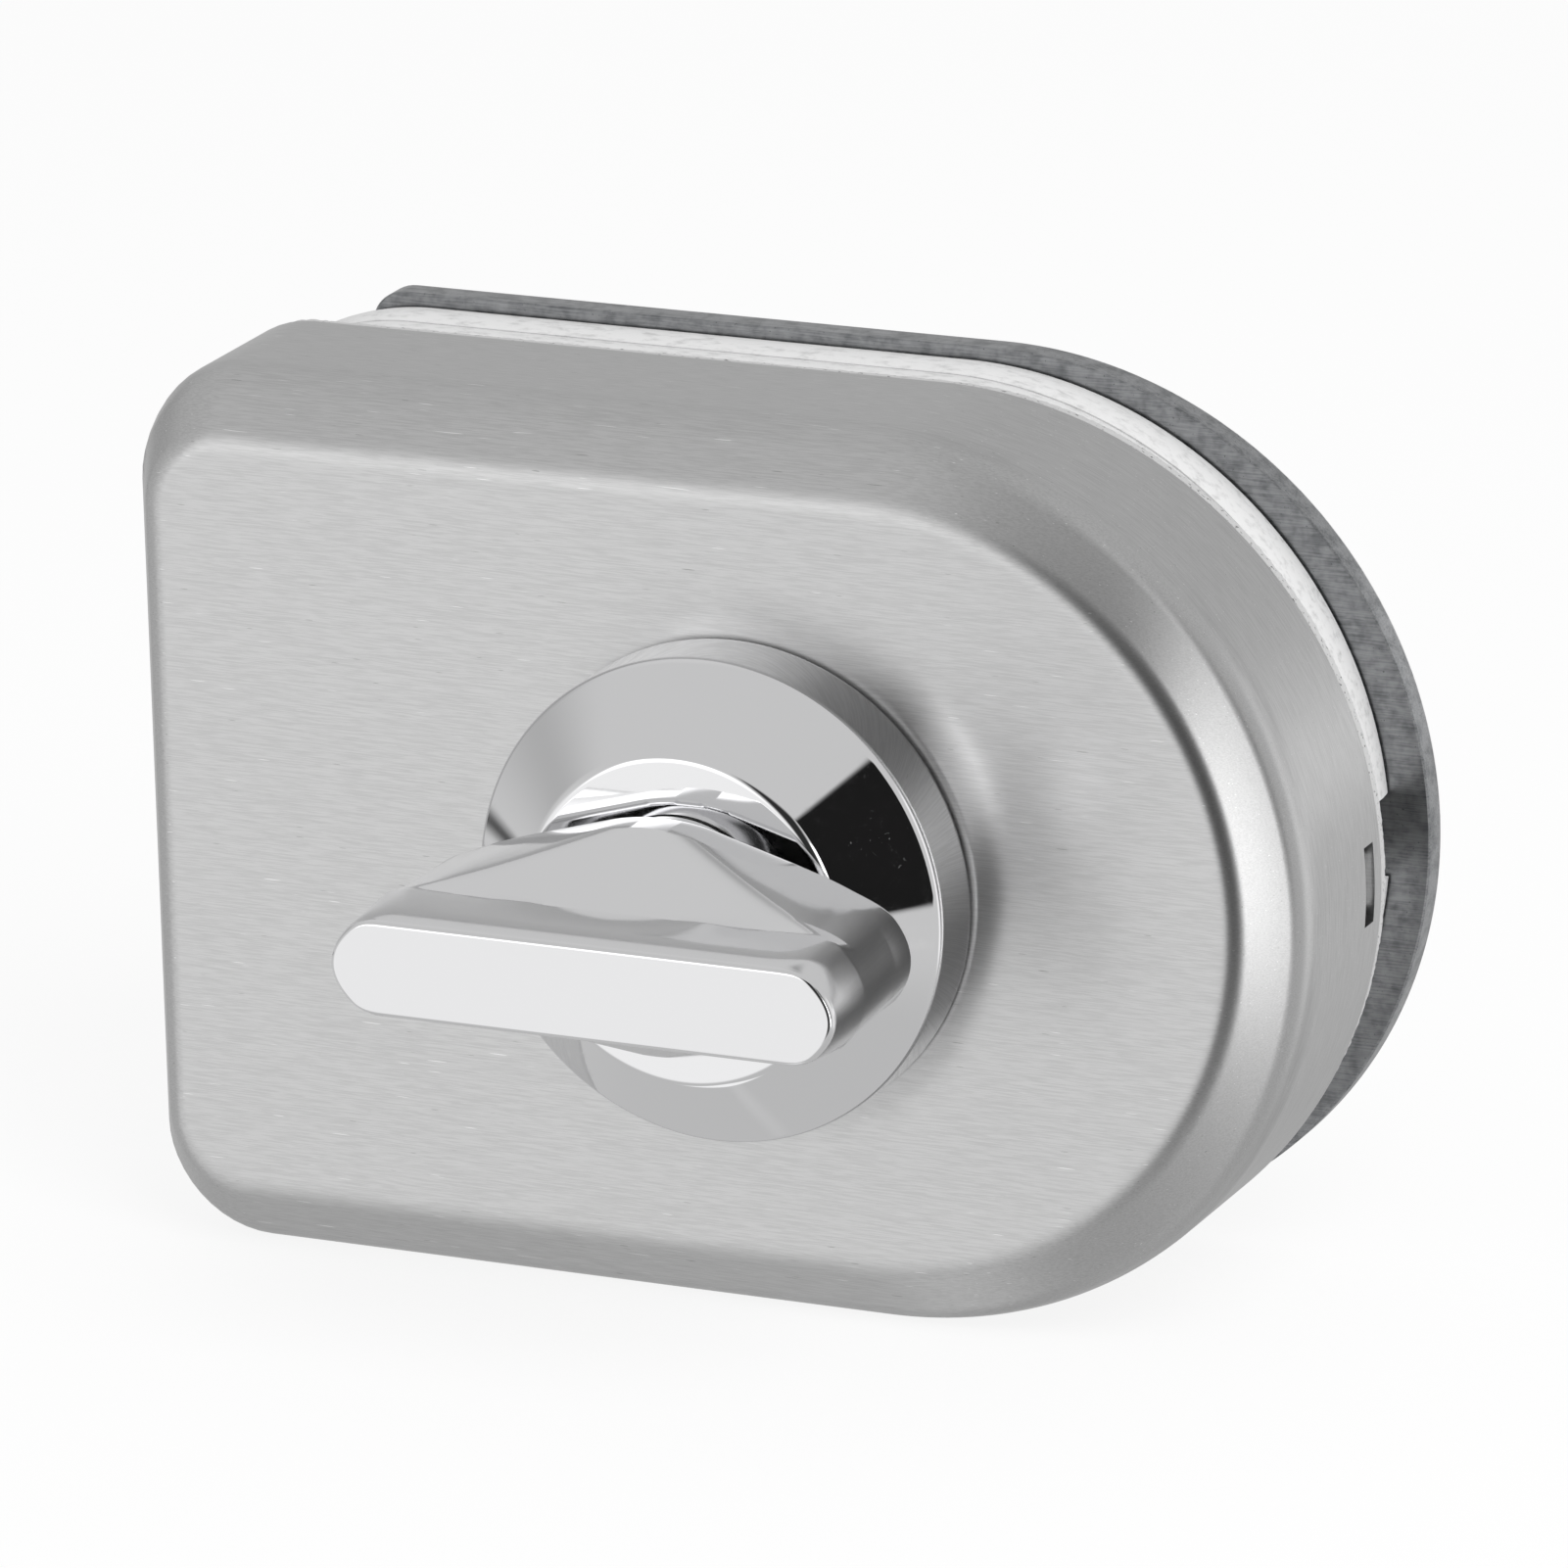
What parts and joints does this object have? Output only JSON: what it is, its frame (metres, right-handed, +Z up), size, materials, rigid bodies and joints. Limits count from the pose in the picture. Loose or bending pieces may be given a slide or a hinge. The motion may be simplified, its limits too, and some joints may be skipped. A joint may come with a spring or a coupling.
{
  "type": "glass door lock",
  "caption": "Thumb-turn deadbolt lock for a frameless glass door: bevelled D-shaped cover, round rosette, gaskets and a flat rear clamping plate.",
  "frame": {"origin": "middle of the lock's box, on the surface that its flat lower edge stands on", "axes": "+X from the flat bolt end towards the round end, -Y towards the thumb turn, +Z up"},
  "size_m": [0.0978, 0.0596, 0.072],
  "materials": {
    "brushed_stainless": "horizontally brushed stainless steel sheet",
    "polished_chrome": "mirror-polished chrome plating",
    "plate_stainless": "darker rolled stainless steel",
    "cast_alloy": "rough die-cast light alloy",
    "spring_steel": "bright drawn steel",
    "sintered_bronze": "porous sintered bronze",
    "white_nylon": "moulded natural nylon",
    "white_silicone": "soft white silicone"
  },
  "bodies": {
    "body": {"front_cover": "brushed_stainless", "rosette": "polished_chrome", "turn_bush": "white_nylon", "rosette_washer": "spring_steel", "rosette_nut": "spring_steel", "lock_base": "cast_alloy", "case_lid": "plate_stainless", "pinion_bush_front": "sintered_bronze", "pinion_bush_rear": "sintered_bronze", "stop_pin": "spring_steel", "bolt_guide": "white_nylon", "friction_spring": "spring_steel", "cover_catch": "spring_steel", "catch_screw": "spring_steel", "lid_screw_1": "spring_steel", "lid_screw_2": "spring_steel", "lid_screw_3": "spring_steel", "lid_screw_4": "spring_steel", "gasket_front": "white_silicone", "gasket_rear": "white_silicone", "rear_plate": "plate_stainless", "clamp_screw_1": "spring_steel", "clamp_screw_2": "spring_steel", "clamp_screw_3": "spring_steel", "clamp_sleeve_1": "white_nylon", "clamp_sleeve_2": "white_nylon", "clamp_sleeve_3": "white_nylon"},
    "turn": {"thumb_turn": "polished_chrome", "retaining_ring": "spring_steel", "spindle": "plate_stainless", "pinion": "plate_stainless"},
    "bolt": {"deadbolt": "plate_stainless"}
  },
  "joints": [
    {"name": "thumb_turn_hinge", "type": "hinge", "parent": "body", "child": "turn", "pos_m": [0.0029, -0.0003, 0.036], "axis": [0, -1, 0], "range_deg": [0, 90]},
    {"name": "bolt_slide", "type": "slide", "parent": "body", "child": "bolt", "axis": [-1, 0, 0], "range_m": [0, 0.01257]}
  ],
  "couplings": [
    {"joint": "bolt_slide", "follows": "thumb_turn_hinge", "m_per_rad": 0.008}
  ]
}
